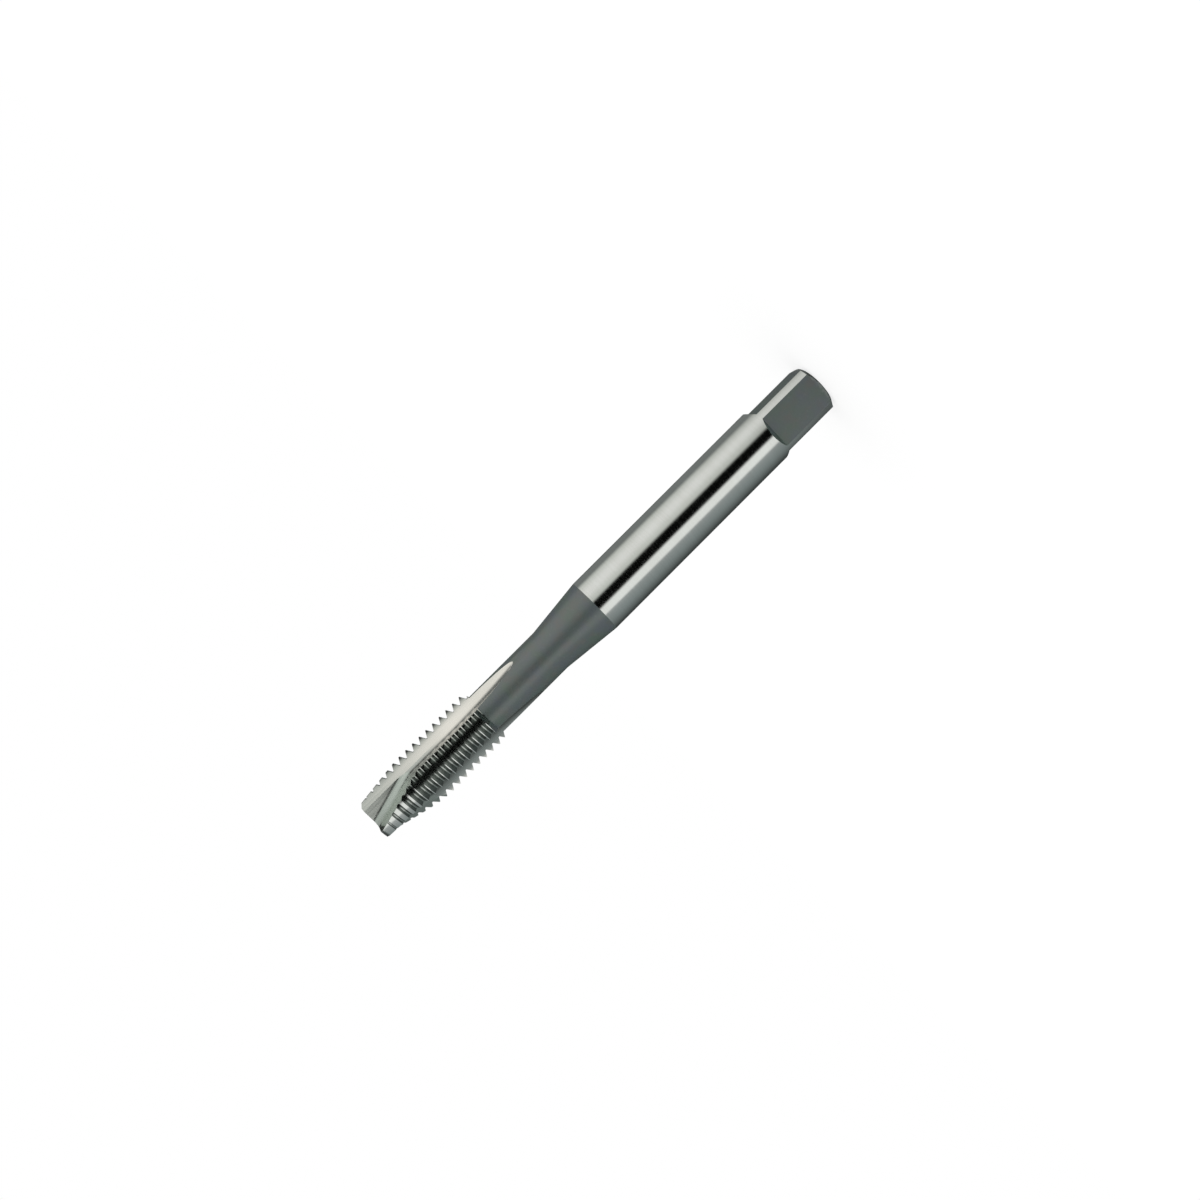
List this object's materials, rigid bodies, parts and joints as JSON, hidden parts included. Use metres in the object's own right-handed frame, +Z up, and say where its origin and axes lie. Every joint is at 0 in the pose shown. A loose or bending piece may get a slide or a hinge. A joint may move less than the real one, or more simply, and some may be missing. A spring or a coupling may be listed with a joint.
{
  "type": "thread tap",
  "caption": "Right-hand M10 machine tap with straight flutes, a spiral point, a relieved neck and a driving square.",
  "frame": {"origin": "centre of the flat face at the square end", "axes": "+Z runs up the tap's axis from the square end to the cutting end"},
  "size_m": [0.0101, 0.0101, 0.1],
  "materials": {
    "tool_steel": "hardened high-speed steel, ground bright on shank, flutes and thread"
  },
  "bodies": {
    "root": {"tap": "tool_steel"}
  },
  "joints": []
}
